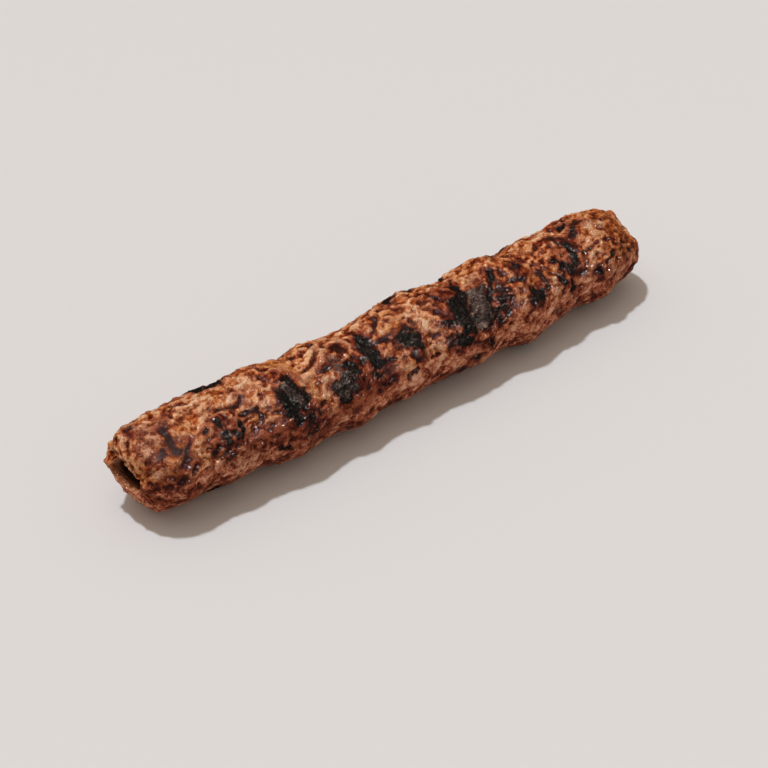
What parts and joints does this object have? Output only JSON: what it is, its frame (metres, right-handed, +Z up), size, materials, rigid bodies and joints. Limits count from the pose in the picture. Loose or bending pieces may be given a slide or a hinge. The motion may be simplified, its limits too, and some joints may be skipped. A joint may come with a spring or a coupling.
{
  "type": "kofta kebab",
  "caption": "Grilled minced-meat kofta, a long lumpy roll slid off its flat skewer, with the skewer's flat slot open at one end and a rounded closed end.",
  "frame": {"origin": "centre of the bounding box, on the plane that the kofta rests on", "axes": "+X along the kofta from the open, slotted end to the closed end, +Z up"},
  "size_m": [0.217, 0.0364, 0.0318],
  "materials": {
    "grilled_meat": "browned, charred in patches, semi-gloss with fat"
  },
  "bodies": {
    "root": {"kofta": "grilled_meat"}
  },
  "joints": []
}
